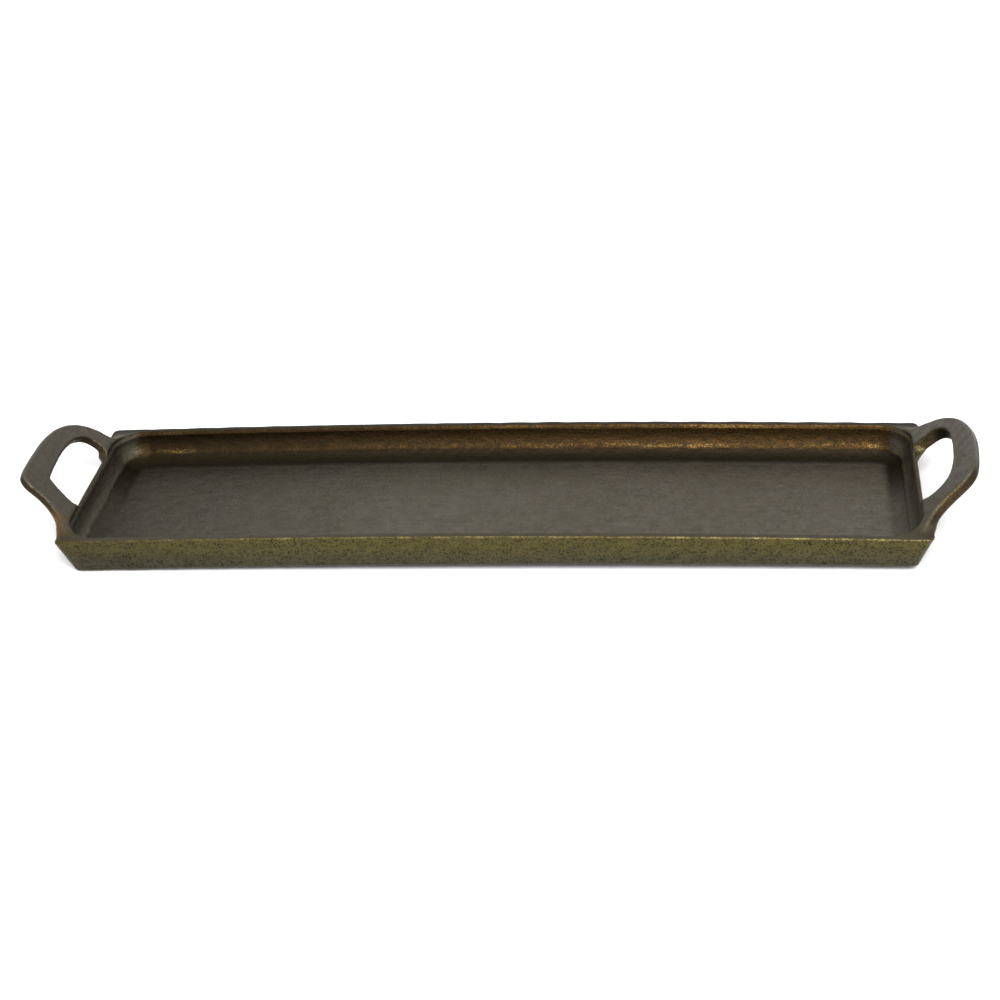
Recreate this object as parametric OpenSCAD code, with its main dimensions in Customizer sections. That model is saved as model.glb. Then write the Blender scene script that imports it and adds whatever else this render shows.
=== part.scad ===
// Long cast brass serving tray: a shallow pan with a raised loop handle at each end.
// Frame: +X along the tray, +Y towards its back, +Z up. The origin is on the surface
// that the tray stands on, under the middle of the tray. All sizes are in millimetres.

/* [Pan] */
// Length of the pan at its rim
body_l = 555; // [450:1:700]
// Width of the pan at its rim
body_w = 152; // [120:1:220]
// Height of the rim above the pan's underside
rim_h = 23.5; // [18:0.5:32]
// How far the middle of the pan rises above its ends
arch = 3.5; // [0.5:0.1:6]
// How far each end wall leans in from the rim down to the underside
end_lean = 10; // [4:0.5:16]
// How far each long wall leans in from the rim down to the underside
side_lean = 3.5; // [2:0.5:10]
// Thickness of the floor
floor_t = 3; // [2.5:0.5:6]
// Width of the flat land along each long rim
side_land = 5; // [3:0.5:8]
// Width of the flat land along each end rim, before the finger relief
end_land = 6; // [5.5:0.5:9]
// Corner radius of the hollow, seen from above
hollow_r = 22; // [21:1:30]
// How far the hollow's walls lean in above the cove
wall_lean = 1; // [0.5:0.5:2]
// Radius of the cove between wall and floor
cove_r = 18; // [12:0.5:18]
// Depth that an end wall's outer edge is cut back for the fingers
relief = 4; // [1:0.5:4]

/* [Handles] */
// Distance from the end of the rim in to the line where a handle starts to rise
fold_in = 10; // [8:0.5:12]
// Depth of the seats that the handle feet stand in
seat_d = 7; // [6.5:0.5:9]
// Half width of a handle where it leaves the rim
foot_w = 67.5; // [64:0.5:70]

/* [Left handle] */
// Rise of the left handle above level, in degrees
left_tilt = 38; // [30:1:50]
// Length of the left handle, measured up its slope
left_len = 48; // [44:0.5:56]
// Thickness of the left handle
left_t = 6; // [5:0.5:9]
// Reach of the left finger hole towards the front, where it leaves the rim
left_hole_front = 33; // [30:0.5:36]
// Reach of the left finger hole towards the back, where it leaves the rim
left_hole_back = 37; // [34:0.5:40]

/* [Right handle] */
// Rise of the right handle above level, in degrees
right_tilt = 40; // [30:1:50]
// Length of the right handle, measured up its slope
right_len = 49; // [44:0.5:56]
// Thickness of the right handle
right_t = 7.5; // [5:0.5:9]
// Reach of the right finger hole towards the front, where it leaves the rim
right_hole_front = 32; // [30:0.5:36]
// Reach of the right finger hole towards the back, where it leaves the rim
right_hole_back = 38.5; // [34:0.5:40]

/* [Felt pads] */
// Diameter of each pad
pad_d = 22; // [14:1:30]
// Thickness of each pad
pad_t = 3; // [1.5:0.5:4]
// Gap round each pad in its recess
pad_gap = 0.3; // [0.1:0.1:1]
// Distance of the pads from the middle, along the tray
pad_x = 240; // [180:1:245]
// Distance of the pads from the middle, across the tray
pad_y = 52; // [35:1:55]
// Gap between the table and the underside at the pan's ends
end_gap = 1.2; // [0.6:0.1:2]

/* [Hidden] */
$fn = 72;

half_l = body_l / 2;
half_w = body_w / 2;
rim_z = end_gap + rim_h;
fold_x = half_l - fold_in;
fold_z = rim_z + arch_at(fold_x);
seat_z = fold_z - seat_d;
wall_slope = end_lean / rim_h;
wall_angle = atan(wall_slope);

// Rounding of the pan's outer corners, its bottom edge and its rim
outer_r = 5;
edge_r = 1.2;
rim_r = 0.8;

// Braze beads: their reach down the wall and out under the handle, and how far short of
// the inner and the outer edge of a foot they end
bead_down = 6;
bead_out = 4.5;
bead_inner_gap = 3;
bead_outer_gap = 9;

// How much narrower the loop is than its feet where it leaves them
shoulder = 0.5;

// Distance up the slope over which a finger hole keeps its width at the rim
hole_start = 6;

// Where each finger hole meets the rim: [front, back] on the left and on the right
hole_ends = [[left_hole_front, left_hole_back], [right_hole_front, right_hole_back]];

// Corner points of the loops and their finger holes, from front to back, in the plane of
// each handle: [share of the handle's length, distance from the middle]. The outline is
// rounded off inside these points. The castings are hand finished, so the two differ.
left_loop = [[0.156, -63], [0.281, -52.5], [0.542, -44.5], [0.865, -41.5], [0.97, -32],
    [0.948, 22], [0.745, 46], [0.417, 56.4], [0.104, 56.6]];
left_hole = [[0.188, -34], [0.563, -25], [0.617, -21.5], [0.646, 24.5], [0.465, 41.4],
    [0.198, 41.4]];
right_loop = [[0.143, -63], [0.265, -54], [0.43, -49.3], [0.83, -43], [0.948, -28.5],
    [0.982, 5.5], [0.888, 27], [0.665, 45.6], [0.306, 56.2], [0.122, 60]];
right_hole = [[0.225, -35.6], [0.52, -30.8], [0.643, -14.5], [0.682, 8], [0.661, 28],
    [0.49, 38.9], [0.245, 38.9]];

// The pan's outline is one half, mirrored: steps along half an end, round a corner
// and along a side.
end_n = 3;
corner_n = 6;
side_n = 24;
half_n = 2 * end_n + 2 * (corner_n + 1) + side_n - 1;
ring_n = 2 * half_n;

// Steps round each corner of a loop or hole
bend_n = 6;

// Rise of the pan at a distance x from its middle: a shallow parabola, level at the ends.
function arch_at(x) = arch * (1 - pow(min(abs(x) / half_l, 1), 2));

function arc_points(cx, cy, r, from) =
    [for (i = [0:corner_n]) let (a = from + 90 * i / corner_n) [cx + r * cos(a), cy + r * sin(a)]];

// Back half of a round-cornered rectangle, from the right end to the left end.
function half_outline(hx, hy, r) = concat(
    [for (i = [0:end_n - 1]) [hx, (hy - r) * (i + 0.5) / end_n]],
    arc_points(hx - r, hy - r, r, 0),
    [for (i = [1:side_n - 1]) [(hx - r) * (1 - 2 * i / side_n), hy]],
    arc_points(r - hx, hy - r, r, 90),
    [for (i = [end_n - 1:-1:0]) [-hx, (hy - r) * (i + 0.5) / end_n]]);

// One ring of a pan surface: inset from the rim at the ends and the sides, at height z.
function ring(end_in, side_in, r, z) =
    let (half = half_outline(half_l - end_in, half_w - side_in, r))
    [for (p = concat(half, [for (i = [half_n - 1:-1:0]) [half[i][0], -half[i][1]]]))
        [p[0], p[1], end_gap + z + arch_at(p[0])]];

// Rings up the outside of the pan, from the underside to the rim.
outer_rings = concat(
    [for (a = [0:30:90])
        ring(end_lean + edge_r * (1 - sin(a)), side_lean + edge_r * (1 - sin(a)), outer_r,
            edge_r * (1 - cos(a)))],
    [for (a = [0:30:90])
        ring(rim_r * (1 - cos(a)), rim_r * (1 - cos(a)), outer_r, rim_h - rim_r * (1 - sin(a)))]);

// Rings down the inside of the pan, from the rim to the floor.
inner_rings = concat(
    [for (a = [0:45:90])
        ring(end_land + rim_r * sin(a), side_land + rim_r * sin(a), hollow_r - rim_r * sin(a),
            rim_h - rim_r * (1 - cos(a)))],
    [for (a = [0:15:90])
        let (run = rim_r + wall_lean + cove_r * (1 - cos(a)))
        ring(end_land + run, side_land + run, hollow_r - run, floor_t + cove_r * (1 - sin(a)))]);

// Closes a ring with strips across the pan, so that it follows the arch.
function cap(first) = let (e = end_n + 1, last = half_n - 1) concat(
    [[for (i = [e:-1:0]) first + i, for (i = [0:e]) first + ring_n - 1 - i]],
    [for (i = [e:last - e - 1])
        [first + i, first + ring_n - 1 - i, first + ring_n - 2 - i, first + i + 1]],
    [[for (i = [last - e:last]) first + ring_n - 1 - i, for (i = [last:-1:last - e]) first + i]]);

function flipped(faces) = [for (f = faces) [for (i = [len(f) - 1:-1:0]) f[i]]];

// Skins a list of rings, from the one closed underneath to the one closed on top.
module skin(rings) {
    count = len(rings);
    sides = [for (k = [0:count - 2], i = [0:ring_n - 1])
        let (a = k * ring_n + i, b = k * ring_n + (i + 1) % ring_n)
        each [[a, a + ring_n, b + ring_n], [a, b + ring_n, b]]];
    polyhedron(points = [for (r = rings) each r],
        faces = concat(sides, flipped(cap(0)), cap((count - 1) * ring_n)), convexity = 6);
}

// The space inside the pan, carried on above the rim.
module hollow() {
    floor_first = [for (i = [len(inner_rings) - 1:-1:0]) inner_rings[i]];
    skin(concat(floor_first, [ring(end_land, side_land, hollow_r, rim_h + 12)]));
}

// Moves and tilts its children from a handle's own plane to the rim at the +X end.
// In that plane u runs up the handle, v across it, and its top face is at zero height.
module on_slope(tilt) {
    translate([fold_x, 0, fold_z])
        rotate([0, -tilt, 0])
            children();
}

// Rounds off every corner between the first and the last point of a line: the curve
// touches the middle of each straight piece.
function rounded(points) = let (last = len(points) - 1) concat(
    [for (i = [1:last - 1], k = [0:bend_n - 1])
        let (t = k / bend_n,
            from = i == 1 ? points[0] : (points[i - 1] + points[i]) / 2,
            to = i == last - 1 ? points[last] : (points[i] + points[i + 1]) / 2)
        (1 - t) * (1 - t) * from + 2 * t * (1 - t) * points[i] + t * t * to],
    [points[last]]);

// The rounded outline of a loop or a hole between two end points at the rim.
function outline(start, corners, length, end) =
    rounded(concat([start], [for (c = corners) [c[0] * length, c[1]]], [end]));

// Where the underside of a handle comes out through the outer face of the end wall.
function exit_x(tilt, t) = (rim_z - fold_z + t / cos(tilt) + fold_x * tan(tilt)
    - half_l / wall_slope) / (tan(tilt) - 1 / wall_slope);

function exit_z(tilt, t) = rim_z - (half_l - exit_x(tilt, t)) / wall_slope;

// Where the inner edge of a foot is; sx and sy are the signs of its end and side.
function foot_inner(sx, sy) = hole_ends[sx < 0 ? 0 : 1][sy < 0 ? 0 : 1];

// The pockets in the end corners of the rim that the handle feet stand in.
module foot_seats() {
    for (sx = [-1, 1], sy = [-1, 1])
        translate([sx > 0 ? fold_x : -half_l - fold_in, sy > 0 ? foot_inner(sx, sy) : -foot_w,
            seat_z])
            cube([2 * fold_in, foot_w - foot_inner(sx, sy), rim_h]);
}

// The cut that thins the top of each end wall under the finger hole.
module finger_reliefs() {
    for (sx = [-1, 1])
        translate([sx > 0 ? half_l - relief : -half_l - relief, -foot_inner(sx, -1),
            rim_z - relief / wall_slope])
            cube([2 * relief, foot_inner(sx, -1) + foot_inner(sx, 1), rim_h]);
}

module tray_pan() color("#6b6044") {
    difference() {
        skin(concat(outer_rings, inner_rings));
        foot_seats();
        finger_reliefs();
        for (sx = [-1, 1], sy = [-1, 1])
            translate([sx * pad_x, sy * pad_y, -1])
                cylinder(h = pad_t + 1, d = pad_d + 2 * pad_gap);
    }
}

// A handle at the +X end: a flat loop whose two feet fill the seats in the rim.
module handle(tilt, length, t, loop, hole, hole_front, hole_back) {
    foot = [[fold_x, fold_z], [fold_x, seat_z], [half_l - (rim_z - seat_z) * wall_slope, seat_z],
        [exit_x(tilt, t), exit_z(tilt, t)], [exit_x(tilt, t), exit_z(tilt, t) + 2]];
    difference() {
        union() {
            on_slope(tilt)
                translate([0, 0, -t])
                    linear_extrude(t)
                        polygon(outline([0, shoulder - foot_w], loop, length,
                            [0, foot_w - shoulder]));
            translate([0, foot_w, 0])
                rotate([90, 0, 0])
                    linear_extrude(2 * foot_w)
                        polygon(foot);
        }
        on_slope(tilt)
            translate([0, 0, -2 * t])
                linear_extrude(3 * t)
                    union() {
                        polygon(outline([hole_start, -hole_front], hole, length,
                            [hole_start, hole_back]));
                        translate([-fold_in, -hole_front])
                            square([fold_in + hole_start + 0.01, hole_front + hole_back]);
                    }
        hollow();
    }
}

module handle_left() color("#6a645a") {
    mirror([1, 0, 0])
        handle(left_tilt, left_len, left_t, left_loop, left_hole, left_hole_front,
            left_hole_back);
}

module handle_right() color("#746d61") {
    handle(right_tilt, right_len, right_t, right_loop, right_hole, right_hole_front,
        right_hole_back);
}

// Section of a braze bead: a hollow-faced fillet between the wall and the handle.
function bead_section(tilt, t) = let (
        root = [exit_x(tilt, t), exit_z(tilt, t)],
        low = root - bead_down * [sin(wall_angle), cos(wall_angle)],
        out = root + bead_out * [cos(tilt), sin(tilt)],
        bow = root + (low + out - 2 * root) * 0.12)
    concat([root, low], [for (k = [0.2:0.2:0.8])
        (1 - k) * (1 - k) * low + 2 * k * (1 - k) * bow + k * k * out], [out]);

// The bead under one foot of a handle; sx and sy are the signs of its end and side.
module braze(sx, sy) color("#8a7236") {
    inner = foot_inner(sx, sy);
    width = foot_w - inner - bead_inner_gap - bead_outer_gap;
    section = sx < 0 ? bead_section(left_tilt, left_t) : bead_section(right_tilt, right_t);
    mirror([sx < 0 ? 1 : 0, 0, 0])
        translate([0, sy > 0 ? foot_w - bead_outer_gap : -inner - bead_inner_gap, 0])
            rotate([90, 0, 0])
                linear_extrude(width)
                    polygon(section);
}

module pad(sx, sy) color("#3a3532") {
    translate([sx * pad_x, sy * pad_y, 0])
        cylinder(h = pad_t, d = pad_d);
}

tray_pan();
handle_left();
handle_right();
braze(-1, -1);  // braze_left_front
braze(-1, 1);  // braze_left_back
braze(1, -1);  // braze_right_front
braze(1, 1);  // braze_right_back
pad(-1, -1);  // pad_left_front
pad(-1, 1);  // pad_left_back
pad(1, -1);  // pad_right_front
pad(1, 1);  // pad_right_back
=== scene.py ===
"""A long cast brass serving tray: a shallow arched pan, two raised loop handles brazed into
its end corners, and felt pads underneath. The castings are modelled as one smooth distance
field, skinned, and cut apart along the seats that the CAD model gives the handle feet."""

import math

import bmesh
import bpy
import numpy as np
import openvdb
from mathutils import Matrix, Vector


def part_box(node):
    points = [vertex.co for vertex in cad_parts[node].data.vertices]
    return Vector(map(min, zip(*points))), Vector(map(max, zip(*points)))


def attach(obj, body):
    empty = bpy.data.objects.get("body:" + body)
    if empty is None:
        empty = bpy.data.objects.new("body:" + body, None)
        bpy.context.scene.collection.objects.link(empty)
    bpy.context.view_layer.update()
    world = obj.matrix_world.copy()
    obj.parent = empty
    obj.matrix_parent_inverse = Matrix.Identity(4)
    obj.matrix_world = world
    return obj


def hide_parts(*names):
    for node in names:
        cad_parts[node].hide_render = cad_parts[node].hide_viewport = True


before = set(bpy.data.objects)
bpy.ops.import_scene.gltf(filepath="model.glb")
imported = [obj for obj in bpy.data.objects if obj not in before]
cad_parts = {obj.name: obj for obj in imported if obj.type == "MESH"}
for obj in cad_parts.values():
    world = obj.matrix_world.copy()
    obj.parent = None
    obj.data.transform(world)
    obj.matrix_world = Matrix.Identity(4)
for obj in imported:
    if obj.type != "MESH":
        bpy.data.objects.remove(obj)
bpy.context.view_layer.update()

MM = 0.001

# Sizes of the tray, in millimetres, taken from the frame where it states them.
pan_low, pan_high = (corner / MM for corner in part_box("tray_pan"))
foot_low, foot_high = (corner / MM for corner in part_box("handle_right"))
HALF_L = pan_high.x
HALF_W = pan_high.y
ARCH = 3.5
RIM_H = 23.5
END_GAP = pan_high.z - RIM_H - ARCH
RIM_Z = END_GAP + RIM_H
FOLD_X = foot_low.x
SEAT_Z = foot_low.z
FOOT_W = foot_high.y
END_LEAN = 10.0
SIDE_LEAN = 3.5
FLOOR_T = 3.0
SIDE_LAND = 5.0
END_LAND = 6.0
HOLLOW_R = 22.0
WALL_LEAN = 1.0
COVE_R = 18.0
RELIEF = 4.0
HOLE_START = 6.0
PAD_D = 22.0
PAD_T = 3.0
PAD_X = 240.0
PAD_Y = 52.0
PAD_GAP = 0.3

# Details that only the dressed castings have: roundings, fillets and the ground facet.
PAN_CORNER_R = 4.8
RIM_R = 0.5
BOTTOM_R = 1.2
HOLLOW_EDGE_R = 0.9
FACET_W = 0.6
SCALLOP_W = 0.35
SCALLOP_STEP = 24.5
FILED_CORNER_W = 1.3
HANDLE_TOP_R = 2.4
HANDLE_BOTTOM_R = 2.2
HANDLE_END_R = 1.0
HOLE_EDGE_R = 1.3
LOOP_TRIM = 0.4
FILLET_R = 3.0
FILLET_GROWTH = 4.0
END_ZONE = 22.0

# Where the handle and braze pieces are cut from the casting.
OVER_RIM = 1.2
LOOP_X = 280.5
BEYOND_X = 330.0
BEYOND_Y = 90.0
BEYOND_Z = 90.0
BEAD_INNER_GAP = 3.0
BEAD_OUTER_GAP = 9.0
BEAD_DOWN = 9.0
BEAD_OUT = 7.0

# A point this close to the field's surface is on the skin, and not on a cut face.
SKIN_ERROR = 0.08

# Where the finish and the painted highlights change: heights above the underside, and places along and
# across the tray.
WALL_FROM = 7.5
COVE_HIGHLIGHT_Z = 9.9
RIM_HIGHLIGHT_Z = 21.4
HIGHLIGHT_SPOT_X = -232.0
GILT_X = -281.0
GILT_Y = -62.0

# The two hand-finished handles: rise in degrees, length up the slope, thickness, how far the
# finger hole reaches to the front and the back at the rim, how much it narrows downwards at
# the back, and the corner points that the loop and the hole are rounded off inside of, as
# (share of the length, distance from the middle) from front to back.
HANDLES = {
    -1: dict(tilt=38, length=48, thick=6.0, front=33.0, back=37.0, draft=-0.05,
        loop=((0.156, -63), (0.281, -52.5), (0.542, -44.5), (0.865, -41.5), (0.97, -32),
            (0.948, 22), (0.745, 46), (0.417, 56.4), (0.104, 56.6)),
        hole=((0.188, -34), (0.563, -25), (0.617, -21.5), (0.646, 24.5), (0.465, 41.4),
            (0.198, 41.4))),
    1: dict(tilt=40, length=49, thick=7.5, front=32.0, back=38.5, draft=0.45,
        loop=((0.143, -63), (0.265, -54), (0.43, -49.3), (0.83, -43), (0.948, -28.5),
            (0.982, 5.5), (0.888, 27), (0.665, 45.6), (0.306, 56.2), (0.122, 60)),
        hole=((0.225, -35.6), (0.52, -30.8), (0.643, -14.5), (0.682, 8), (0.661, 28),
            (0.49, 38.9), (0.245, 38.9))),
}


def arch_at(x):
    """How far the pan's underside rises above its ends."""
    return ARCH * (1 - np.minimum(np.abs(x) / HALF_L, 1) ** 2)


FOLD_Z = RIM_Z + float(arch_at(FOLD_X))


# ---------------------------------------------------------------- distance fields
def both(a, b, r):
    """Intersection of two fields, with its edge rounded to radius r."""
    return np.minimum(-r, np.maximum(a, b)) + np.hypot(np.maximum(a + r, 0), np.maximum(b + r, 0))


def either(a, b, r):
    """Union of two fields, with its inner corner filleted to radius r."""
    return np.maximum(r, np.minimum(a, b)) - np.hypot(np.maximum(r - a, 0), np.maximum(r - b, 0))


def ripple(x, y, z, scale, seed):
    """Smooth irregular waves between about -1 and 1, the same on every run."""
    total = 0.0
    for k in range(4):
        angle = seed * 1.7 + k * 2.4
        ax, ay, az = math.cos(angle), math.sin(angle), math.sin(angle * 1.3 + 0.6)
        stretch = 1 + 0.37 * k
        total = total + np.sin((ax * x + ay * y + az * z) * stretch * 2 * math.pi / scale + seed + k)
    return total / 4


def rounded_rectangle(x, y, half_x, half_y, r):
    qx = np.abs(x) - half_x + r
    qy = np.abs(y) - half_y + r
    return np.hypot(np.maximum(qx, 0), np.maximum(qy, 0)) + np.minimum(np.maximum(qx, qy), 0) - r


def outer_form(x, y, z):
    """The pan without its hollow. z is measured from the arched underside."""
    down = 1 - z / RIM_H
    plan = rounded_rectangle(x, y, HALF_L - END_LEAN * down, HALF_W - SIDE_LEAN * down,
        PAN_CORNER_R)
    walls = plan * math.cos(math.atan(SIDE_LEAN / RIM_H))
    # The ground edge round the top is a narrow facet with shallow hand-dressed scallops.
    along = np.abs(np.sin(math.pi * (x + 3 * np.sin(x / 41)) / SCALLOP_STEP + 0.4 * (y > 0)))
    facet_w = FACET_W + SCALLOP_W * (1 - along) + 0.1 * ripple(x, y, z, 57, 2)
    facet_w = facet_w - 0.3 * np.clip((np.abs(x) - HALF_L + 14) / 6, 0, 1)
    # The left front corner is filed back further, beside the foot of the handle.
    filed = np.clip((-x - HALF_L + 9) / 6, 0, 1) * np.clip((-y - 56) / 8, 0, 1)
    facet_w = facet_w + FILED_CORNER_W * filed
    facet = (plan + z - RIM_H) * math.sqrt(0.5) + facet_w
    # Towards the front edge the underside rises a little, more so on the right.
    edge = np.clip((-y - 62) / 13, 0, 1)
    under = (0.9 + 1.7 * x / HALF_L) * edge * edge * (3 - 2 * edge)
    return both(both(both(walls, z - RIM_H, RIM_R), under - z, BOTTOM_R), facet, 0.35)


def hollow_form(x, y, z):
    """The hollow of the pan: nearly upright walls, and a cove down to a level floor."""
    down = np.clip((RIM_H - z) / (RIM_H - FLOOR_T - COVE_R), 0, 1)
    half_x = HALF_L - END_LAND - WALL_LEAN * down
    half_y = HALF_W - SIDE_LAND - WALL_LEAN * down
    wall = rounded_rectangle(x, y, half_x, half_y, HOLLOW_R - WALL_LEAN * down) * 0.94
    return both(wall, FLOOR_T - z, COVE_R)


def curve_distance(u, v, corners):
    """Signed distance to the smooth line inside a row of corners, negative on its left.

    Each bend is a quadratic curve between the middles of two neighbouring sides."""
    points = [np.array(c, float) for c in corners]
    middles = [points[0]] + [(a + b) / 2 for a, b in zip(points[1:-2], points[2:-1])] + [points[-1]]
    best = np.full(np.shape(u), 1e6)
    signed = best.copy()
    for start, corner, end in zip(middles, points[1:-1], middles[1:]):
        chord = end - start
        t = (((u - start[0]) * chord[0] + (v - start[1]) * chord[1]) / (chord @ chord)).clip(0, 1)
        bow = start + end - 2 * corner
        for _ in range(5):
            du = start[0] + t * (2 * (corner[0] - start[0]) + t * bow[0]) - u
            dv = start[1] + t * (2 * (corner[1] - start[1]) + t * bow[1]) - v
            run_u = 2 * (corner[0] - start[0] + t * bow[0])
            run_v = 2 * (corner[1] - start[1] + t * bow[1])
            steep = run_u ** 2 + run_v ** 2
            bend = np.maximum(steep + 2 * (du * bow[0] + dv * bow[1]), 0.3 * steep)
            t = (t - (du * run_u + dv * run_v) / bend).clip(0, 1)
        du = start[0] + t * (2 * (corner[0] - start[0]) + t * bow[0]) - u
        dv = start[1] + t * (2 * (corner[1] - start[1]) + t * bow[1]) - v
        run_u = 2 * (corner[0] - start[0] + t * bow[0])
        run_v = 2 * (corner[1] - start[1] + t * bow[1])
        gap = np.hypot(du, dv)
        closer = gap < best
        signed = np.where(closer, np.where(du * run_v - dv * run_u > 0, -gap, gap), signed)
        best = np.minimum(best, gap)
    return signed


def in_plane(x, y, z, side):
    """A handle's own coordinates: u up its slope, v across it, n above its top face."""
    tilt = math.radians(HANDLES[side]["tilt"])
    out = x * side - FOLD_X
    up = z - FOLD_Z
    return (out * math.cos(tilt) + up * math.sin(tilt), y,
        up * math.cos(tilt) - out * math.sin(tilt))


def handle_form(x, y, z, side):
    """The loop of one handle, running on past its fold line into the pan's corners."""
    spec = HANDLES[side]
    u, v, n = in_plane(x, y, z, side)
    rows = {}
    for part, start, front, back in (("loop", 0, FOOT_W - 0.5, FOOT_W - 0.5),
            ("hole", HOLE_START, spec["front"], spec["back"])):
        far = [(share * spec["length"], across) for share, across in spec[part]]
        rows[part] = [(-30, -front), (start, -front)] + far + [(start, back), (-30, back)]
    outline = curve_distance(u, v, rows["loop"]) - LOOP_TRIM
    hole = curve_distance(u, v, rows["hole"]) - spec["draft"] * n * np.clip((v - 5) / 25, 0, 1)
    plate = both(outline, n, HANDLE_TOP_R)
    plate = both(plate, -spec["thick"] - n, HANDLE_BOTTOM_R)
    plate = both(plate, -u - 4, HANDLE_END_R)
    return both(plate, -hole, HOLE_EDGE_R)


def foot_inner(side, front):
    """Distance from the middle of the tray to the inner side of a foot."""
    return HANDLES[side]["front" if front else "back"]


def tray_field(x, y, z):
    """The whole casting in millimetres: pan, handles and the fillets between them."""
    flat_z = z - END_GAP - arch_at(x)
    body = outer_form(x, y, flat_z)
    ends = np.abs(x) > HALF_L - END_ZONE
    loop = np.full(np.shape(x), 50.0)
    if np.any(ends):
        for side in (-1, 1):
            near = ends & (x * side > 0)
            if np.any(near):
                loop[near] = handle_form(x[near], y[near], z[near], side)
        middle = np.where(x > 0, foot_inner(1, False) - foot_inner(1, True),
            foot_inner(-1, False) - foot_inner(-1, True)) / 2
        reach = np.where(x > 0, foot_inner(1, False) + foot_inner(1, True),
            foot_inner(-1, False) + foot_inner(-1, True)) / 2
        relief = both(both(HALF_L - RELIEF - np.abs(x), np.abs(y - middle) - reach + 1, 4.0),
            RIM_Z - RELIEF * RIM_H / END_LEAN - z, 3.0)
        body = both(body, -relief, 1.0)
        # The fillet is larger under a handle than above it.
        body = either(body, loop, FILLET_R + FILLET_GROWTH * np.clip((RIM_Z + 6 - z) / 12, 0, 1))
    body = both(body, -hollow_form(x, y, flat_z), HOLLOW_EDGE_R)
    return body + 0.14 * ripple(x, y, z, 47, 1) + 0.06 * ripple(x, y, z, 19, 5)


# ---------------------------------------------------------------- skinning the field
def spacing(stops):
    """Grid lines along one axis: stops are (position, step from here on)."""
    lines = []
    for (start, step), (end, _) in zip(stops, stops[1:]):
        lines.append(np.linspace(start, end, max(round((end - start) / step), 1), endpoint=False))
    return np.concatenate(lines + [[stops[-1][0]]])


def mirrored(half):
    """Grid lines on both sides of zero, from the positive half."""
    return np.concatenate([-half[:0:-1], half])


def settle(points, field, rounds):
    """Moves points along the field's slope on to its surface. Returns them and the normals."""
    h = 0.03
    for k in range(rounds + 1):
        slope = np.stack([field(*(points + h * axis).T) - field(*(points - h * axis).T)
            for axis in np.eye(3)], axis=1) / (2 * h)
        steep = (slope ** 2).sum(1).clip(0.04)
        if k < rounds:
            step = (field(*points.T) / steep).clip(-0.8, 0.8)
            points = points - step[:, None] * slope
    return points, slope / np.sqrt((slope ** 2).sum(1))[:, None].clip(1e-6)


def skin(field, xs, ys, zs):
    """A closed mesh of the field's surface, sampled on uneven grid lines."""
    values = np.empty((len(xs), len(ys), len(zs)), np.float32)
    grid_y, grid_z = np.meshgrid(ys, zs, indexing="ij")
    for i, x in enumerate(xs):
        values[i] = field(np.full_like(grid_y, x), grid_y, grid_z)
    grid = openvdb.FloatGrid(float(values.max()))
    grid.copyFromArray(values)
    points, quads = grid.convertToQuads(0.0)
    points = np.stack([np.interp(points[:, k], np.arange(len(lines)), lines)
        for k, lines in enumerate((xs, ys, zs))], axis=1)
    points, _ = settle(points, field, 4)
    return points, quads[:, ::-1]


def new_piece(name, points, faces):
    """An object from points in millimetres."""
    mesh = bpy.data.meshes.new(name)
    mesh.from_pydata((np.asarray(points) * MM).tolist(), [], np.asarray(faces).tolist())
    mesh.validate()
    piece = bpy.data.objects.new(name, mesh)
    bpy.context.scene.collection.objects.link(piece)
    return piece


def prism(name, outline, low, high, axis):
    """A closed prism in millimetres: outline is in the plane across axis, from low to high."""
    def place(a, b, along):
        return {"x": (along, a, b), "y": (a, along, b), "z": (a, b, along)}[axis]

    count = len(outline)
    points = [place(a, b, low) for a, b in outline] + [place(a, b, high) for a, b in outline]
    mesh = bpy.data.meshes.new(name)
    faces = [list(range(count))[::-1], [count + i for i in range(count)]]
    faces += [[i, (i + 1) % count, count + (i + 1) % count, count + i] for i in range(count)]
    mesh.from_pydata([[c * MM for c in p] for p in points], [], faces)
    shape = bmesh.new()
    shape.from_mesh(mesh)
    bmesh.ops.recalc_face_normals(shape, faces=shape.faces)
    shape.to_mesh(mesh)
    shape.free()
    piece = bpy.data.objects.new(name, mesh)
    bpy.context.scene.collection.objects.link(piece)
    return piece


def block(name, low, high):
    """A closed box between two corners, in millimetres."""
    outline = [(low[0], low[1]), (high[0], low[1]), (high[0], high[1]), (low[0], high[1])]
    return prism(name, outline, low[2], high[2], "z")


def carve(piece, other, operation):
    """Applies a boolean with another object to a piece."""
    step = piece.modifiers.new("carve", "BOOLEAN")
    step.operation = operation
    step.object = other
    step.solver = "MANIFOLD"
    bpy.context.view_layer.update()
    result = bpy.data.meshes.new_from_object(
        piece.evaluated_get(bpy.context.evaluated_depsgraph_get()))
    piece.modifiers.clear()
    piece.data = result


def copy_of(piece, name):
    """A second object with its own copy of the mesh."""
    twin = bpy.data.objects.new(name, piece.data.copy())
    bpy.context.scene.collection.objects.link(twin)
    return twin


def remove(*objects):
    for o in objects:
        bpy.data.objects.remove(o)


# Grid lines in millimetres, closest together at the ends, the walls and the rim.
fine_x = spacing([(0, 2.6), (226, 1.6), (250, 0.8), (312, 1)])
fine_y = spacing([(0, 2.0), (24, 1.1), (60, 0.8), (79, 1)])
fine_z = spacing([(-1, 0.75), (RIM_Z - 3, 0.55), (RIM_Z + 6, 0.75), (58, 1)])
cast_points, cast_faces = skin(tray_field, mirrored(fine_x), mirrored(fine_y), fine_z)
casting = new_piece("casting", cast_points, cast_faces)


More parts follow.
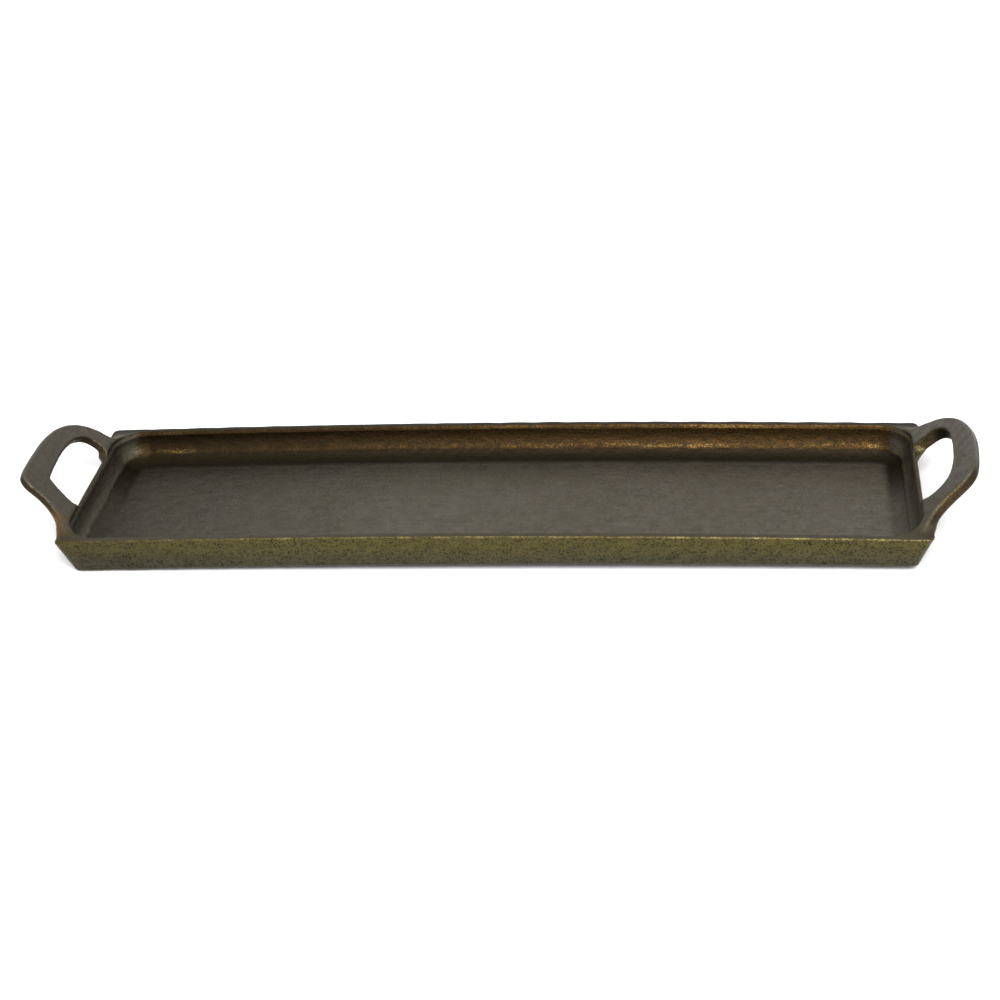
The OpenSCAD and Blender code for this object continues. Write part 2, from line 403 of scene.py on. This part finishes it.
def handle_region(side):
    """Everything that belongs to a handle: its seats, what stands over the rim, the loop."""
    def span(a, b):
        return (min(side * a, side * b), max(side * a, side * b))

    x0, x1 = span(FOLD_X, BEYOND_X)
    blocks = [block("seat", (x0, foot_inner(side, False), SEAT_Z), (x1, FOOT_W, BEYOND_Z)),
        block("seat", (x0, -FOOT_W, SEAT_Z), (x1, -foot_inner(side, True), BEYOND_Z)),
        block("over", (x0, -BEYOND_Y, RIM_Z + OVER_RIM), (x1, BEYOND_Y, BEYOND_Z))]
    x0, x1 = span(LOOP_X, BEYOND_X)
    blocks.append(block("loop", (x0, -BEYOND_Y, -5), (x1, BEYOND_Y, BEYOND_Z)))
    for other in blocks[1:]:
        carve(blocks[0], other, "UNION")
    remove(*blocks[1:])
    return blocks[0]


def bead_region(side, front):
    """The space between the end wall's outer face and the underside of one handle foot."""
    tilt = math.radians(HANDLES[side]["tilt"])
    slope = END_LEAN / RIM_H
    x = (RIM_Z - FOLD_Z + HANDLES[side]["thick"] / math.cos(tilt) + FOLD_X * math.tan(tilt)
        - HALF_L / slope) / (math.tan(tilt) - 1 / slope)
    z = RIM_Z - (HALF_L - x) / slope
    wall = math.atan(slope)
    outline = [(side * x, z),
        (side * (x - BEAD_DOWN * math.sin(wall)), z - BEAD_DOWN * math.cos(wall)),
        (side * (x + 2 * BEAD_OUT), z - BEAD_OUT),
        (side * (x + BEAD_OUT * math.cos(tilt)), z + BEAD_OUT * math.sin(tilt))]
    inner, outer = foot_inner(side, front) + BEAD_INNER_GAP, FOOT_W - BEAD_OUTER_GAP
    return prism("bead", outline, *((-outer, -inner) if front else (inner, outer)), "y")


# ---------------------------------------------------------------- the pieces
pieces = {}
bodies = {-1: "left", 1: "right"}
regions = {side: handle_region(side) for side in bodies}
beads = {(side, front): bead_region(side, front) for side in bodies for front in (True, False)}
for (side, front), region in beads.items():
    name = f"braze_{bodies[side]}_{'front' if front else 'back'}"
    pieces[name] = copy_of(casting, name)
    carve(pieces[name], region, "INTERSECT")
for side, region in regions.items():
    name = f"handle_{bodies[side]}"
    pieces[name] = copy_of(casting, name)
    carve(pieces[name], region, "INTERSECT")
    for front in (True, False):
        carve(pieces[name], beads[side, front], "DIFFERENCE")
pieces["tray_pan"] = copy_of(casting, "tray_pan")
for region in list(regions.values()) + list(beads.values()):
    carve(pieces["tray_pan"], region, "DIFFERENCE")
remove(casting, *regions.values(), *beads.values())


def disc(radius, count=72):
    """Points evenly round a circle about the origin."""
    return [(radius * math.cos(2 * math.pi * k / count), radius * math.sin(2 * math.pi * k / count))
        for k in range(count)]


def felt_pad(name, x, y, seed):
    """A round felt pad: a slightly uneven disc with a soft edge."""
    # Rings from the middle of the underside to the middle of the top: shares of radius, height.
    rings = [(0.35, 0), (0.7, 0), (0.9, 0), (0.97, 0.04), (1, 0.25), (1, 0.6), (1, 0.85),
        (0.975, 0.97), (0.93, 1), (0.6, 1), (0.3, 1)]
    count = 96
    points = []
    for k, (out, up) in enumerate(rings):
        for j in range(count):
            a = 2 * math.pi * j / count
            fray = 0.12 * ripple(9 * math.cos(a), 9 * math.sin(a), 3 * up, 2.6, seed) - 0.13
            r = out * PAD_D / 2 + (fray if out > 0.95 else 0)
            points.append((x + r * math.cos(a), y + r * math.sin(a), PAD_T * up))
    faces = [(k * count + j, k * count + (j + 1) % count, (k + 1) * count + (j + 1) % count,
        (k + 1) * count + j) for k in range(len(rings) - 1) for j in range(count)]
    faces.append(tuple(range(count))[::-1])
    faces.append(tuple((len(rings) - 1) * count + j for j in range(count)))
    mesh = bpy.data.meshes.new(name)
    mesh.from_pydata([[c * MM for c in p] for p in points], [], faces)
    mesh.shade_smooth()
    piece = bpy.data.objects.new(name, mesh)
    bpy.context.scene.collection.objects.link(piece)
    return piece


pads = {}
for side in bodies:
    for front in (True, False):
        name = f"pad_{bodies[side]}_{'front' if front else 'back'}"
        x, y = side * PAD_X, -PAD_Y if front else PAD_Y
        outline = [(x + dx, y + dy) for dx, dy in disc(PAD_D / 2 + PAD_GAP)]
        recess = prism("recess", outline, -1, PAD_T, "z")
        carve(pieces["tray_pan"], recess, "DIFFERENCE")
        remove(recess)
        pads[name] = felt_pad(name, x, y, len(pads))


# ---------------------------------------------------------------- shading and masks
def ramp(value, low, high):
    """A smooth step from 0 at low to 1 at high."""
    t = ((value - low) / (high - low)).clip(0, 1)
    return t * t * (3 - 2 * t)


def bell(value, middle, width, power=2):
    """1 at the middle, falling away on both sides; a higher power makes a flatter top."""
    return np.exp(-((value - middle) / width) ** power)


def finish_masks(points, smooth):
    """Masks for each point, 0 for none, that say how its surface was finished and where painted
    highlight and painted shade fall.
    """
    x, y, z = points.T
    flat_z = z - END_GAP - arch_at(x)
    inside = ramp(hollow_form(x, y, flat_z), 1.2, 0.2) * ramp(flat_z, FLOOR_T - 1.5, FLOOR_T - 0.5)
    wavy = flat_z + 0.35 * ripple(x, y, z, 31, 7) + 0.25 * ripple(x, y, z, 9, 3)
    wall = inside * ramp(wavy, WALL_FROM, WALL_FROM + 1)
    behind = ramp(y, -10, 40)

    # Two rows of painted highlight, in gold flecks, run along the walls: in the cove and just below
    # the rim, stronger to the right and at one spot near the left end.
    rows = bell(wavy, COVE_HIGHLIGHT_Z, 1.1) + 1.4 * bell(wavy, RIM_HIGHLIGHT_Z, 1.6)
    rows = rows * (0.1 + 0.7 * ramp(x, -50, 70) + 0.7 * bell(x, HIGHLIGHT_SPOT_X, 13))

    # Painted shade lies along the foot of the cove, most of it at the back.
    foot = rounded_rectangle(x, y, HALF_L - END_LAND - WALL_LEAN - COVE_R,
        HALF_W - SIDE_LAND - WALL_LEAN - COVE_R, HOLLOW_R - WALL_LEAN - COVE_R)
    cove_shade = ramp(foot, -1, 5) * (1 - ramp(wavy, WALL_FROM + 0.7, WALL_FROM + 1.9))

    # How sharply the surface bends outwards, from the field at the six points around.
    bend = sum(tray_field(*(points + step * axis).T) for axis in np.eye(3) for step in (-1, 1))
    bend = bend - 6 * tray_field(*points.T)

    return {
        "inside_floor": inside - wall,
        "inside_wall": wall,
        "end_wall": wall * ramp(np.abs(smooth[:, 0]), 0.25, 0.8),
        # Painted highlight in rows along the walls, more on the back wall.
        "high": ramp(wavy, 11, 19),
        "rows": wall * rows * (0.35 + 0.65 * behind),
        "shade": inside * cove_shade * (0.45 + 0.55 * behind),
        "ground": (1 - inside) * ramp(smooth[:, 2], 0.55, 0.9) * ramp(flat_z, RIM_H - 3, RIM_H - 1),
        "edge": ramp(bend, 0.12, 0.7) * ramp(y, HALF_W - 4, HALF_W - 7),
        # Painted shade along the top of the far rim.
        "far": (1 - inside) * ramp(y, HALF_W - 6, HALF_W - 4.5) * ramp(flat_z, RIM_H - 2, RIM_H - 0.8),
        # Painted shade in concave corners and creases.
        "crevice_shade": ramp(-bend, 0.15, 0.6),
        "arm": (1 - inside) * ramp(outer_form(x, y, flat_z), 0.4, 5.0),
        "gilt": bell(x, GILT_X, 9, 4) * bell(y, GILT_Y, 11, 4),
    }


def dress(piece):
    """Gives a piece smooth shading that follows the field, and its masks."""
    mesh = piece.data
    count = len(mesh.vertices)
    points = np.empty(count * 3)
    mesh.vertices.foreach_get("co", points)
    points = points.reshape(-1, 3) / MM
    _, smooth = settle(points, tray_field, 0)
    on_skin = np.abs(tray_field(*points.T)) < SKIN_ERROR
    flat = np.empty(len(mesh.polygons) * 3)
    mesh.polygons.foreach_get("normal", flat)
    flat = flat.reshape(-1, 3)
    corners = np.empty(len(mesh.loops), np.int32)
    mesh.loops.foreach_get("vertex_index", corners)
    sides = np.empty(len(mesh.polygons), np.int32)
    mesh.polygons.foreach_get("loop_total", sides)
    flat = np.repeat(flat, sides, axis=0)
    agree = on_skin[corners] & ((smooth[corners] * flat).sum(1) > 0.3)
    mesh.shade_smooth()
    mesh.normals_split_custom_set(np.where(agree[:, None], smooth[corners], flat).tolist())

    # A joint shows as a hairline where the skin meets a face that was cut through it.
    whole, cut = np.zeros(count), np.zeros(count)
    np.maximum.at(whole, corners, agree.astype(float))
    np.maximum.at(cut, corners, (~agree).astype(float))
    for name, values in {**finish_masks(points, smooth), "seam": whole * cut}.items():
        layer = mesh.attributes.new(name, "FLOAT", "POINT")
        layer.data.foreach_set("value", np.ascontiguousarray(values, np.float32))


for piece in pieces.values():
    dress(piece)


# ---------------------------------------------------------------- materials
class Graph:
    """A small helper for building a procedural material."""

    def __init__(self, name):
        self.material = bpy.data.materials.new(name)
        self.material.use_nodes = True
        self.tree = self.material.node_tree
        self.bsdf = self.tree.nodes["Principled BSDF"]

    def node(self, kind, **settings):
        made = self.tree.nodes.new(kind)
        for key, value in settings.items():
            setattr(made, key, value)
        return made

    def feed(self, socket, value):
        """Links a socket, or sets it when the value is a constant."""
        if isinstance(value, bpy.types.NodeSocket):
            self.tree.links.new(value, socket)
        else:
            socket.default_value = value

    def mask(self, name):
        return self.node("ShaderNodeAttribute", attribute_name=name).outputs["Fac"]

    def place(self, stretch):
        """Object coordinates in millimetres, divided by a length along each axis."""
        where = self.node("ShaderNodeTexCoord").outputs["Object"]
        scaled = self.node("ShaderNodeMapping")
        self.feed(scaled.inputs["Vector"], where)
        self.feed(scaled.inputs["Scale"], [1000 / length for length in stretch])
        return scaled.outputs["Vector"]

    def noise(self, stretch, detail, low=0.35, high=0.65):
        """Noise whose grain has the given lengths in millimetres, spread over 0 to 1."""
        cloud = self.node("ShaderNodeTexNoise")
        self.feed(cloud.inputs["Vector"], self.place(stretch))
        self.feed(cloud.inputs["Scale"], 1.0)
        self.feed(cloud.inputs["Detail"], detail)
        return self.spread(cloud.outputs["Fac"], low, high)

    def spread(self, value, low, high, to_low=0.0, to_high=1.0):
        stretched = self.node("ShaderNodeMapRange")
        self.feed(stretched.inputs["Value"], value)
        for key, number in zip(("From Min", "From Max", "To Min", "To Max"),
                (low, high, to_low, to_high)):
            self.feed(stretched.inputs[key], number)
        return stretched.outputs["Result"]

    def axis(self, letter):
        """One object coordinate, in millimetres."""
        split = self.node("ShaderNodeSeparateXYZ")
        self.feed(split.inputs[0], self.place((1, 1, 1)))
        return split.outputs[letter]

    def times(self, a, b):
        product = self.node("ShaderNodeMath", operation="MULTIPLY")
        self.feed(product.inputs[0], a)
        self.feed(product.inputs[1], b)
        return product.outputs["Value"]

    def mix(self, factor, a, b):
        blend = self.node("ShaderNodeMix", data_type="RGBA")
        self.feed(blend.inputs[0], factor)
        self.feed(blend.inputs[6], a)
        self.feed(blend.inputs[7], b)
        return blend.outputs[2]

    def bump(self, height, depth_mm, strength, below=None):
        relief = self.node("ShaderNodeBump")
        self.feed(relief.inputs["Height"], height)
        self.feed(relief.inputs["Distance"], depth_mm * MM)
        self.feed(relief.inputs["Strength"], strength)
        if below is not None:
            self.feed(relief.inputs["Normal"], below)
        return relief.outputs["Normal"]


def tone(r, g, b):
    return (r, g, b, 1.0)


# Reflection colours. The darkest are dirt, painted shade and pits.
DARK = tone(0.02, 0.015, 0.009)
SHADE = tone(0.0155, 0.0112, 0.0055)
PIT = tone(0.014, 0.012, 0.008)
STAIN = tone(0.034, 0.029, 0.018)
# The outside as cast, above and below, and the ground rim.
CAST = tone(0.085, 0.072, 0.025)
LOW = tone(0.063, 0.056, 0.036)
LAND = tone(0.073, 0.059, 0.037)
# The hollow: its floor with cooler patches, its long walls and its end walls.
FLOOR = tone(0.149, 0.13, 0.102)
COOL = tone(0.13, 0.127, 0.116)
WALL = tone(0.03, 0.0162, 0.005)
WALL_TOP = tone(0.052, 0.0275, 0.0087)
END = tone(0.105, 0.094, 0.07)
# The handles' sides and their ground top faces.
ARM = tone(0.04, 0.031, 0.016)
ARM_TOP = tone(0.11, 0.097, 0.077)
# Rubbed metal, and GOLD also for the painted highlight rows on the walls.
GOLD = tone(0.18, 0.11, 0.035)
GOLD_DIM = tone(0.12, 0.075, 0.026)
GILT = tone(0.15, 0.088, 0.025)


def brass(name, tint, tint_all):
    """Dark antique brass. Each tone is the reflection colour of one kind of surface; tint is
    how much gold shows through on a handle's sides, and tint_all on everything."""
    g = Graph(name)
    clouds = g.noise((46, 46, 30), 3)
    mottle = g.noise((7, 7, 5), 4)
    specks = g.noise((1.2, 1.1, 1.1), 3, 0.5, 0.6)
    grain = g.noise((24, 1.4, 1.4), 4, 0.3, 0.7)

    # As cast outside: olive above, greyer below, darker towards the left end.
    base = g.mix(g.spread(g.axis("Z"), 7, 20), LOW, CAST)
    arm = g.mix(g.times(clouds, tint), ARM, GOLD_DIM)
    base = g.mix(g.mask("arm"), base, arm)
    base = g.mix(g.times(clouds, tint_all), base, GOLD_DIM)
    base = g.mix(g.times(mottle, 0.3), base, STAIN)
    base = g.mix(g.spread(g.axis("X"), -300, -140), g.mix(0.3, base, DARK), base)

    # The floor: grey-brown patina with faint streaks along the tray, darker towards the left end.
    patina = g.mix(g.spread(g.axis("X"), -300, -60), g.mix(0.15, DARK, FLOOR), FLOOR)
    patina = g.mix(g.times(clouds, 0.2), patina, CAST)
    patches = g.noise((11, 4, 4), 4)
    patina = g.mix(g.times(patches, 0.4), patina, g.mix(0.5, patina, COOL))
    patina = g.mix(g.times(grain, 0.3), patina, g.mix(0.55, patina, DARK))
    patina = g.mix(g.times(mottle, 0.24), patina, g.mix(0.5, patina, DARK))
    base = g.mix(g.mask("inside_floor"), base, patina)

    # The hollow's walls: orange-brown, with painted shade towards the left end and speckled rows of
    # painted gold highlight.
    sides = g.mix(g.mask("high"), WALL, WALL_TOP)
    # Painted shade: the long walls darken towards the left end.
    sides = g.mix(g.spread(g.axis("X"), -200, 60, 0.65, 0), sides, SHADE)
    sides = g.mix(g.mask("end_wall"), sides, END)
    sides = g.mix(g.times(mottle, 0.4), sides, g.mix(0.6, sides, DARK))
    smear = g.noise((70, 12, 6), 3, 0.4, 0.62)
    flecks = g.noise((2.2, 1.3, 1.1), 3, 0.42, 0.58)
    # Painted highlight: speckled gold rows along the walls.
    painted_highlight = g.times(g.mask("rows"), g.times(smear, g.spread(flecks, 0, 1, 0.15, 0.9)))
    base = g.mix(g.mask("inside_wall"), base, g.mix(painted_highlight, sides, GOLD))
    # Painted shade along the foot of the cove, most of it at the back.
    base = g.mix(g.times(g.mask("shade"), 0.96), base, SHADE)

    # Ground faces, pits, worn edges, painted shade in corners and creases, and dark joints.
    smooth = g.mix(g.mask("arm"), LAND, ARM_TOP)
    base = g.mix(g.mask("ground"), base, g.mix(g.times(clouds, 0.35), smooth, LOW))
    pitted = g.times(g.spread(mottle, 0, 1, 0.6, 0.9), g.spread(g.mask("ground"), 0, 1, 1, 0.25))
    pitted = g.times(pitted, g.spread(g.mask("inside_floor"), 0, 1, 1, 0.4))
    pitted = g.times(pitted, g.spread(g.mask("end_wall"), 0, 1, 1, 0.4))
    base = g.mix(g.times(specks, pitted), base, PIT)
    worn = g.times(g.mask("edge"), g.spread(mottle, 0, 1, 0, 0.1))
    base = g.mix(worn, base, g.mix(0.4, GOLD, CAST))
    # Painted shade in concave corners and creases.
    base = g.mix(g.times(g.mask("crevice_shade"), 0.6), base, DARK)
    base = g.mix(g.times(g.mask("seam"), 0.4), base, DARK)
    # Painted shade along the top of the far rim.
    base = g.mix(g.times(g.mask("far"), 0.85), base, DARK)
    base = g.mix(g.times(g.mask("gilt"), g.spread(mottle, 0, 1, 0.5, 0.95)), base, GILT)
    g.feed(g.bsdf.inputs["Base Color"], base)
    g.feed(g.bsdf.inputs["Metallic"], 1.0)
    g.feed(g.bsdf.inputs["Roughness"], g.spread(mottle, 0, 1, 0.38, 0.52))
    pits = g.bump(specks, 0.12, 0.6)
    streaks = g.bump(grain, 0.06, 0.35, pits)
    g.feed(g.bsdf.inputs["Normal"], g.bump(mottle, 0.25, 0.5, streaks))
    return g.material


def felt(name, colour, fibre):
    """Pressed wool felt with short fuzz."""
    g = Graph(name)
    fuzz = g.noise((0.35, 0.35, 0.35), 4)
    g.feed(g.bsdf.inputs["Base Color"], g.mix(fuzz, colour, fibre))
    g.feed(g.bsdf.inputs["Roughness"], 1.0)
    g.feed(g.bsdf.inputs["Sheen Weight"], 0.3)
    g.feed(g.bsdf.inputs["Normal"], g.bump(fuzz, 0.2, 0.9))
    return g.material


pan_brass = brass("pan_brass", tint=0.0, tint_all=0.0)
handle_brass = brass("handle_brass", tint=0.25, tint_all=0.0)
braze_metal = brass("braze_metal", tint=0.2, tint_all=0.12)
pad_felt = felt("felt", tone(0.05, 0.045, 0.04), tone(0.09, 0.082, 0.074))

finish = {"tray": ("pan_brass", pan_brass), "handle": ("handle_brass", handle_brass),
    "braze": ("braze_metal", braze_metal), "pad": ("felt", pad_felt)}
for name, piece in {**pieces, **pads}.items():
    slot, material = finish[name.split("_")[0]]
    piece.data.materials.clear()
    piece.data.materials.append(material)
    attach(piece, "root")
    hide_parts(name)


# ---------------------------------------------------------------- camera, floor and light
CAMERA_AT = (0.169, -1.1441, 0.6769)
CAMERA_TURN = (8.262, 29.968, -4.426)
LENS = 73.15
FLOOR_SIZE = 4.0
FLOOR_Z = -0.0002

view = bpy.data.cameras.new("view")
view.lens = LENS
camera = bpy.data.objects.new("view", view)
bpy.context.scene.collection.objects.link(camera)
bpy.context.scene.camera = camera
yaw, pitch, roll = (math.radians(angle) for angle in CAMERA_TURN)
ahead = Vector((-math.sin(yaw) * math.cos(pitch), math.cos(yaw) * math.cos(pitch), -math.sin(pitch)))
right = Vector((math.cos(yaw), math.sin(yaw), 0))
above = right.cross(ahead)
level = math.cos(roll) * right + math.sin(roll) * above
upward = -math.sin(roll) * right + math.cos(roll) * above
turn = Matrix((level, upward, -ahead)).transposed()
camera.matrix_world = Matrix.Translation(CAMERA_AT) @ turn.to_4x4()

floor_mesh = bpy.data.meshes.new("floor")
floor_corners = [(x * FLOOR_SIZE, y * FLOOR_SIZE, FLOOR_Z)
    for x, y in ((-1, -1), (1, -1), (1, 1), (-1, 1))]
floor_mesh.from_pydata(floor_corners, [], [(0, 1, 2, 3)])
floor = bpy.data.objects.new("floor", floor_mesh)
bpy.context.scene.collection.objects.link(floor)
paper = Graph("paper")
paper.feed(paper.bsdf.inputs["Base Color"], tone(0.93, 0.93, 0.93))
paper.feed(paper.bsdf.inputs["Roughness"], 0.9)
floor_mesh.materials.append(paper.material)

world = bpy.data.worlds.new("studio")
bpy.context.scene.world = world
world.use_nodes = True
world.node_tree.nodes["Background"].inputs["Color"].default_value = (1, 1, 1, 1)
world.node_tree.nodes["Background"].inputs["Strength"].default_value = 1.0
bpy.context.scene.view_settings.view_transform = "Standard"


def soft_light(name, spot, aim, extent, power):
    """A rectangular area light at a spot, turned towards a point."""
    lamp = bpy.data.lights.new(name, "AREA")
    lamp.shape = "RECTANGLE"
    lamp.size, lamp.size_y = extent
    lamp.energy = power
    lamp_object = bpy.data.objects.new(name, lamp)
    bpy.context.scene.collection.objects.link(lamp_object)
    lamp_object.location = spot
    lamp_object.rotation_euler = (Vector(aim) - Vector(spot)).to_track_quat("-Z", "Y").to_euler()


soft_light("key", (0.35, -1.25, 1.4), (0, 0, 0), (1.4, 0.8), 50)
